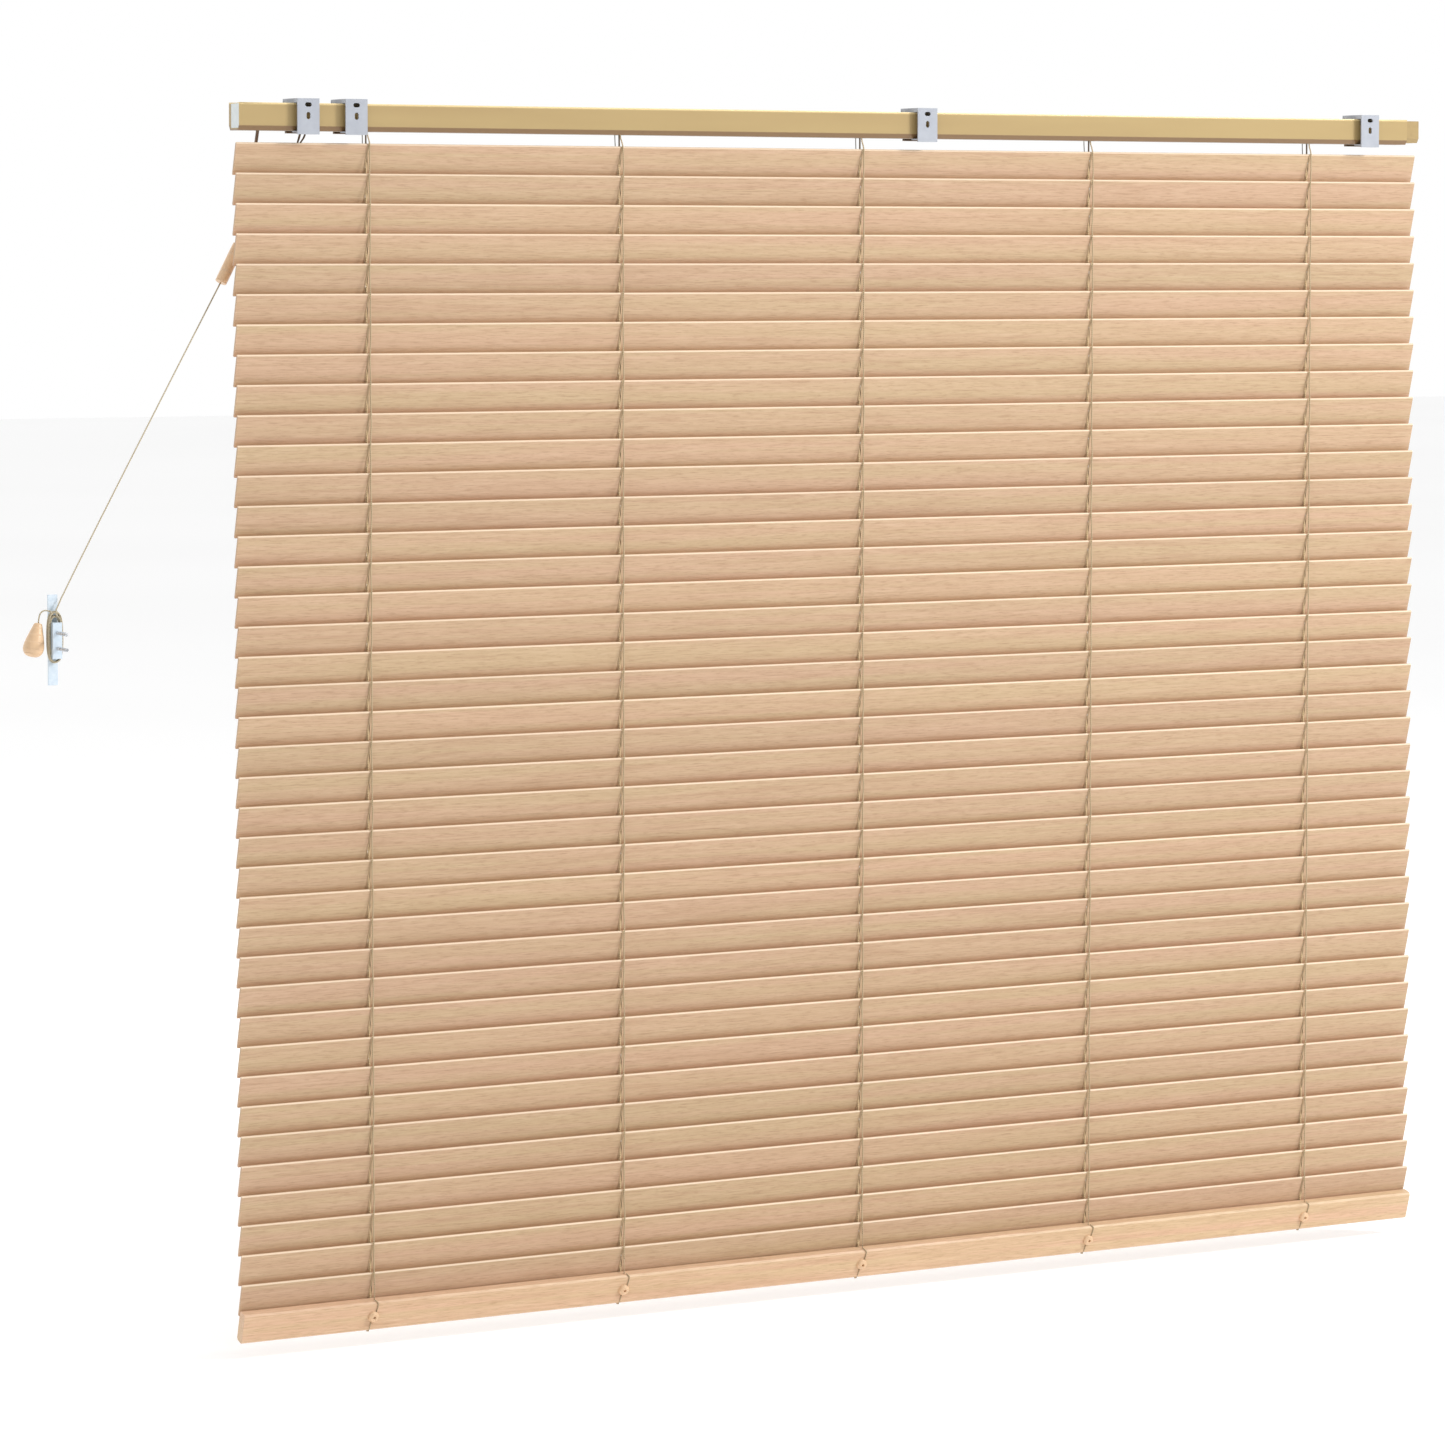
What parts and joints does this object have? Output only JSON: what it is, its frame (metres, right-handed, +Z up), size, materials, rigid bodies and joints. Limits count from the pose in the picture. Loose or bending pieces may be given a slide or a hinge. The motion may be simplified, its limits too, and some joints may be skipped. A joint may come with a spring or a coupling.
{
  "type": "venetian blind",
  "caption": "Wooden venetian blind with a channel headrail, coupled tilting slats, ladder and lift cords, tilt wand, wall brackets, and a cleat holding the pull cord.",
  "frame": {"origin": "on the wall plane, midway between the two outer brackets, level with their upper screw slots", "axes": "+X along the headrail towards the end with the controls, +Y at the wall, +Z up"},
  "size_m": [1.7392, 0.0898, 1.3054],
  "materials": {
    "bamboo": "satin lacquer",
    "turned_wood": "satin lacquer",
    "rail_enamel": "satin",
    "bracket_enamel": "satin",
    "cap_plastic": "matte",
    "nylon": "matte",
    "steel": "zinc plated",
    "cleat_plastic": "gloss",
    "cord": "braided"
  },
  "bodies": {
    "frame": {"headrail": "rail_enamel", "end_caps": "cap_plastic", "rod_supports": "nylon", "cord_lock": "steel", "lift_cords": "cord", "wall_brackets": "bracket_enamel", "cleat": "cleat_plastic", "pull_cord": "cord", "cord_winding": "cord", "cord_condenser": "turned_wood", "tassel": "turned_wood"},
    "tilt_gear": {"tilt_rod": "steel", "rod_drums": "nylon"},
    "worm": {"worm_shaft": "cap_plastic"},
    "wand": {"tilt_wand": "turned_wood"},
    "roller": {"lock_roller": "nylon"},
    "gates": {"bracket_gates": "bracket_enamel"},
    "bottom_rail": {"bottom_rail": "bamboo", "rail_buttons": "turned_wood"},
    "window_ladders": {"ladder_cords_window": "cord"},
    "room_ladders": {"ladder_cords_room": "cord"},
    "slat_01": {"slat_01": "bamboo"},
    "slat_02": {"slat_02": "bamboo"},
    "slat_03": {"slat_03": "bamboo"},
    "slat_04": {"slat_04": "bamboo"},
    "slat_05": {"slat_05": "bamboo"},
    "slat_06": {"slat_06": "bamboo"},
    "slat_07": {"slat_07": "bamboo"},
    "slat_08": {"slat_08": "bamboo"},
    "slat_09": {"slat_09": "bamboo"},
    "slat_10": {"slat_10": "bamboo"},
    "slat_11": {"slat_11": "bamboo"},
    "slat_12": {"slat_12": "bamboo"},
    "slat_13": {"slat_13": "bamboo"},
    "slat_14": {"slat_14": "bamboo"},
    "slat_15": {"slat_15": "bamboo"},
    "slat_16": {"slat_16": "bamboo"},
    "slat_17": {"slat_17": "bamboo"},
    "slat_18": {"slat_18": "bamboo"},
    "slat_19": {"slat_19": "bamboo"},
    "slat_20": {"slat_20": "bamboo"},
    "slat_21": {"slat_21": "bamboo"},
    "slat_22": {"slat_22": "bamboo"},
    "slat_23": {"slat_23": "bamboo"},
    "slat_24": {"slat_24": "bamboo"},
    "slat_25": {"slat_25": "bamboo"},
    "slat_26": {"slat_26": "bamboo"},
    "slat_27": {"slat_27": "bamboo"},
    "slat_28": {"slat_28": "bamboo"},
    "slat_29": {"slat_29": "bamboo"},
    "slat_30": {"slat_30": "bamboo"},
    "slat_31": {"slat_31": "bamboo"},
    "slat_32": {"slat_32": "bamboo"},
    "slat_33": {"slat_33": "bamboo"},
    "slat_34": {"slat_34": "bamboo"},
    "slat_35": {"slat_35": "bamboo"},
    "slat_36": {"slat_36": "bamboo"},
    "slat_37": {"slat_37": "bamboo"},
    "slat_38": {"slat_38": "bamboo"},
    "slat_39": {"slat_39": "bamboo"}
  },
  "joints": [
    {"name": "slat_tilt", "type": "hinge", "parent": "frame", "child": "bottom_rail", "pos_m": [0, -0.021, -1.2814], "axis": [1, 0, 0], "range_deg": [-148, 0]},
    {"name": "slat_01_tilt", "type": "hinge", "parent": "frame", "child": "slat_01", "pos_m": [0, -0.021, -0.0564], "axis": [1, 0, 0], "range_deg": [-149, 1]},
    {"name": "slat_02_tilt", "type": "hinge", "parent": "frame", "child": "slat_02", "pos_m": [0, -0.021, -0.0879], "axis": [1, 0, 0], "range_deg": [-149, 1]},
    {"name": "slat_03_tilt", "type": "hinge", "parent": "frame", "child": "slat_03", "pos_m": [0, -0.021, -0.1194], "axis": [1, 0, 0], "range_deg": [-149, 1]},
    {"name": "slat_04_tilt", "type": "hinge", "parent": "frame", "child": "slat_04", "pos_m": [0, -0.021, -0.1509], "axis": [1, 0, 0], "range_deg": [-149, 1]},
    {"name": "slat_05_tilt", "type": "hinge", "parent": "frame", "child": "slat_05", "pos_m": [0, -0.021, -0.1824], "axis": [1, 0, 0], "range_deg": [-149, 1]},
    {"name": "slat_06_tilt", "type": "hinge", "parent": "frame", "child": "slat_06", "pos_m": [0, -0.021, -0.2139], "axis": [1, 0, 0], "range_deg": [-149, 1]},
    {"name": "slat_07_tilt", "type": "hinge", "parent": "frame", "child": "slat_07", "pos_m": [0, -0.021, -0.2454], "axis": [1, 0, 0], "range_deg": [-149, 1]},
    {"name": "slat_08_tilt", "type": "hinge", "parent": "frame", "child": "slat_08", "pos_m": [0, -0.021, -0.2769], "axis": [1, 0, 0], "range_deg": [-149, 1]},
    {"name": "slat_09_tilt", "type": "hinge", "parent": "frame", "child": "slat_09", "pos_m": [0, -0.021, -0.3084], "axis": [1, 0, 0], "range_deg": [-149, 1]},
    {"name": "slat_10_tilt", "type": "hinge", "parent": "frame", "child": "slat_10", "pos_m": [0, -0.021, -0.3399], "axis": [1, 0, 0], "range_deg": [-149, 1]},
    {"name": "slat_11_tilt", "type": "hinge", "parent": "frame", "child": "slat_11", "pos_m": [0, -0.021, -0.3714], "axis": [1, 0, 0], "range_deg": [-149, 1]},
    {"name": "slat_12_tilt", "type": "hinge", "parent": "frame", "child": "slat_12", "pos_m": [0, -0.021, -0.4029], "axis": [1, 0, 0], "range_deg": [-149, 1]},
    {"name": "slat_13_tilt", "type": "hinge", "parent": "frame", "child": "slat_13", "pos_m": [0, -0.021, -0.4344], "axis": [1, 0, 0], "range_deg": [-149, 1]},
    {"name": "slat_14_tilt", "type": "hinge", "parent": "frame", "child": "slat_14", "pos_m": [0, -0.021, -0.4659], "axis": [1, 0, 0], "range_deg": [-149, 1]},
    {"name": "slat_15_tilt", "type": "hinge", "parent": "frame", "child": "slat_15", "pos_m": [0, -0.021, -0.4974], "axis": [1, 0, 0], "range_deg": [-149, 1]},
    {"name": "slat_16_tilt", "type": "hinge", "parent": "frame", "child": "slat_16", "pos_m": [0, -0.021, -0.5289], "axis": [1, 0, 0], "range_deg": [-149, 1]},
    {"name": "slat_17_tilt", "type": "hinge", "parent": "frame", "child": "slat_17", "pos_m": [0, -0.021, -0.5604], "axis": [1, 0, 0], "range_deg": [-149, 1]},
    {"name": "slat_18_tilt", "type": "hinge", "parent": "frame", "child": "slat_18", "pos_m": [0, -0.021, -0.5919], "axis": [1, 0, 0], "range_deg": [-149, 1]},
    {"name": "slat_19_tilt", "type": "hinge", "parent": "frame", "child": "slat_19", "pos_m": [0, -0.021, -0.6234], "axis": [1, 0, 0], "range_deg": [-149, 1]},
    {"name": "slat_20_tilt", "type": "hinge", "parent": "frame", "child": "slat_20", "pos_m": [0, -0.021, -0.6549], "axis": [1, 0, 0], "range_deg": [-149, 1]},
    {"name": "slat_21_tilt", "type": "hinge", "parent": "frame", "child": "slat_21", "pos_m": [0, -0.021, -0.6864], "axis": [1, 0, 0], "range_deg": [-149, 1]},
    {"name": "slat_22_tilt", "type": "hinge", "parent": "frame", "child": "slat_22", "pos_m": [0, -0.021, -0.7179], "axis": [1, 0, 0], "range_deg": [-149, 1]},
    {"name": "slat_23_tilt", "type": "hinge", "parent": "frame", "child": "slat_23", "pos_m": [0, -0.021, -0.7494], "axis": [1, 0, 0], "range_deg": [-149, 1]},
    {"name": "slat_24_tilt", "type": "hinge", "parent": "frame", "child": "slat_24", "pos_m": [0, -0.021, -0.7809], "axis": [1, 0, 0], "range_deg": [-149, 1]},
    {"name": "slat_25_tilt", "type": "hinge", "parent": "frame", "child": "slat_25", "pos_m": [0, -0.021, -0.8124], "axis": [1, 0, 0], "range_deg": [-149, 1]},
    {"name": "slat_26_tilt", "type": "hinge", "parent": "frame", "child": "slat_26", "pos_m": [0, -0.021, -0.8439], "axis": [1, 0, 0], "range_deg": [-149, 1]},
    {"name": "slat_27_tilt", "type": "hinge", "parent": "frame", "child": "slat_27", "pos_m": [0, -0.021, -0.8754], "axis": [1, 0, 0], "range_deg": [-149, 1]},
    {"name": "slat_28_tilt", "type": "hinge", "parent": "frame", "child": "slat_28", "pos_m": [0, -0.021, -0.9069], "axis": [1, 0, 0], "range_deg": [-149, 1]},
    {"name": "slat_29_tilt", "type": "hinge", "parent": "frame", "child": "slat_29", "pos_m": [0, -0.021, -0.9384], "axis": [1, 0, 0], "range_deg": [-149, 1]},
    {"name": "slat_30_tilt", "type": "hinge", "parent": "frame", "child": "slat_30", "pos_m": [0, -0.021, -0.9699], "axis": [1, 0, 0], "range_deg": [-149, 1]},
    {"name": "slat_31_tilt", "type": "hinge", "parent": "frame", "child": "slat_31", "pos_m": [0, -0.021, -1.0014], "axis": [1, 0, 0], "range_deg": [-149, 1]},
    {"name": "slat_32_tilt", "type": "hinge", "parent": "frame", "child": "slat_32", "pos_m": [0, -0.021, -1.0329], "axis": [1, 0, 0], "range_deg": [-149, 1]},
    {"name": "slat_33_tilt", "type": "hinge", "parent": "frame", "child": "slat_33", "pos_m": [0, -0.021, -1.0644], "axis": [1, 0, 0], "range_deg": [-149, 1]},
    {"name": "slat_34_tilt", "type": "hinge", "parent": "frame", "child": "slat_34", "pos_m": [0, -0.021, -1.0959], "axis": [1, 0, 0], "range_deg": [-149, 1]},
    {"name": "slat_35_tilt", "type": "hinge", "parent": "frame", "child": "slat_35", "pos_m": [0, -0.021, -1.1274], "axis": [1, 0, 0], "range_deg": [-149, 1]},
    {"name": "slat_36_tilt", "type": "hinge", "parent": "frame", "child": "slat_36", "pos_m": [0, -0.021, -1.1589], "axis": [1, 0, 0], "range_deg": [-149, 1]},
    {"name": "slat_37_tilt", "type": "hinge", "parent": "frame", "child": "slat_37", "pos_m": [0, -0.021, -1.1904], "axis": [1, 0, 0], "range_deg": [-149, 1]},
    {"name": "slat_38_tilt", "type": "hinge", "parent": "frame", "child": "slat_38", "pos_m": [0, -0.021, -1.2219], "axis": [1, 0, 0], "range_deg": [-149, 1]},
    {"name": "slat_39_tilt", "type": "hinge", "parent": "frame", "child": "slat_39", "pos_m": [0, -0.021, -1.2534], "axis": [1, 0, 0], "range_deg": [-149, 1]},
    {"name": "window_ladder_swing", "type": "hinge", "parent": "bottom_rail", "child": "window_ladders", "pos_m": [0, -0.01618, -1.26458], "axis": [1, 0, 0], "range_deg": [-1, 149]},
    {"name": "room_ladder_swing", "type": "hinge", "parent": "bottom_rail", "child": "room_ladders", "pos_m": [0, -0.02582, -1.29822], "axis": [1, 0, 0], "range_deg": [-1, 149]},
    {"name": "rod_turn", "type": "hinge", "parent": "frame", "child": "tilt_gear", "pos_m": [0, -0.017, -0.012], "axis": [1, 0, 0], "range_deg": [-241.96, 1]},
    {"name": "worm_turn", "type": "hinge", "parent": "frame", "child": "worm", "pos_m": [0.719, -0.0315, -0.0272], "axis": [0, 0.3381, 0.9411], "range_deg": [-2410.59, 1]},
    {"name": "wand_turn", "type": "hinge", "parent": "frame", "child": "wand", "pos_m": [0.719, -0.04418, -0.06249], "axis": [0, 0, 1], "range_deg": [-2410.59, 1]},
    {"name": "lock_roller_slide", "type": "slide", "parent": "frame", "child": "roller", "axis": [0, 0, 1], "range_m": [0, 0.004]},
    {"name": "bracket_gate_swing", "type": "hinge", "parent": "frame", "child": "gates", "pos_m": [0, -0.0362, 0.0036], "axis": [1, 0, 0], "range_deg": [-100, 0]}
  ],
  "couplings": [
    {"joint": "slat_01_tilt", "follows": "slat_tilt", "ratio": 1},
    {"joint": "slat_02_tilt", "follows": "slat_tilt", "ratio": 1},
    {"joint": "slat_03_tilt", "follows": "slat_tilt", "ratio": 1},
    {"joint": "slat_04_tilt", "follows": "slat_tilt", "ratio": 1},
    {"joint": "slat_05_tilt", "follows": "slat_tilt", "ratio": 1},
    {"joint": "slat_06_tilt", "follows": "slat_tilt", "ratio": 1},
    {"joint": "slat_07_tilt", "follows": "slat_tilt", "ratio": 1},
    {"joint": "slat_08_tilt", "follows": "slat_tilt", "ratio": 1},
    {"joint": "slat_09_tilt", "follows": "slat_tilt", "ratio": 1},
    {"joint": "slat_10_tilt", "follows": "slat_tilt", "ratio": 1},
    {"joint": "slat_11_tilt", "follows": "slat_tilt", "ratio": 1},
    {"joint": "slat_12_tilt", "follows": "slat_tilt", "ratio": 1},
    {"joint": "slat_13_tilt", "follows": "slat_tilt", "ratio": 1},
    {"joint": "slat_14_tilt", "follows": "slat_tilt", "ratio": 1},
    {"joint": "slat_15_tilt", "follows": "slat_tilt", "ratio": 1},
    {"joint": "slat_16_tilt", "follows": "slat_tilt", "ratio": 1},
    {"joint": "slat_17_tilt", "follows": "slat_tilt", "ratio": 1},
    {"joint": "slat_18_tilt", "follows": "slat_tilt", "ratio": 1},
    {"joint": "slat_19_tilt", "follows": "slat_tilt", "ratio": 1},
    {"joint": "slat_20_tilt", "follows": "slat_tilt", "ratio": 1},
    {"joint": "slat_21_tilt", "follows": "slat_tilt", "ratio": 1},
    {"joint": "slat_22_tilt", "follows": "slat_tilt", "ratio": 1},
    {"joint": "slat_23_tilt", "follows": "slat_tilt", "ratio": 1},
    {"joint": "slat_24_tilt", "follows": "slat_tilt", "ratio": 1},
    {"joint": "slat_25_tilt", "follows": "slat_tilt", "ratio": 1},
    {"joint": "slat_26_tilt", "follows": "slat_tilt", "ratio": 1},
    {"joint": "slat_27_tilt", "follows": "slat_tilt", "ratio": 1},
    {"joint": "slat_28_tilt", "follows": "slat_tilt", "ratio": 1},
    {"joint": "slat_29_tilt", "follows": "slat_tilt", "ratio": 1},
    {"joint": "slat_30_tilt", "follows": "slat_tilt", "ratio": 1},
    {"joint": "slat_31_tilt", "follows": "slat_tilt", "ratio": 1},
    {"joint": "slat_32_tilt", "follows": "slat_tilt", "ratio": 1},
    {"joint": "slat_33_tilt", "follows": "slat_tilt", "ratio": 1},
    {"joint": "slat_34_tilt", "follows": "slat_tilt", "ratio": 1},
    {"joint": "slat_35_tilt", "follows": "slat_tilt", "ratio": 1},
    {"joint": "slat_36_tilt", "follows": "slat_tilt", "ratio": 1},
    {"joint": "slat_37_tilt", "follows": "slat_tilt", "ratio": 1},
    {"joint": "slat_38_tilt", "follows": "slat_tilt", "ratio": 1},
    {"joint": "slat_39_tilt", "follows": "slat_tilt", "ratio": 1},
    {"joint": "window_ladder_swing", "follows": "slat_tilt", "ratio": -1},
    {"joint": "room_ladder_swing", "follows": "slat_tilt", "ratio": -1},
    {"joint": "rod_turn", "follows": "slat_tilt", "ratio": 1.6281},
    {"joint": "worm_turn", "follows": "slat_tilt", "ratio": 16.281},
    {"joint": "wand_turn", "follows": "slat_tilt", "ratio": 16.281}
  ]
}
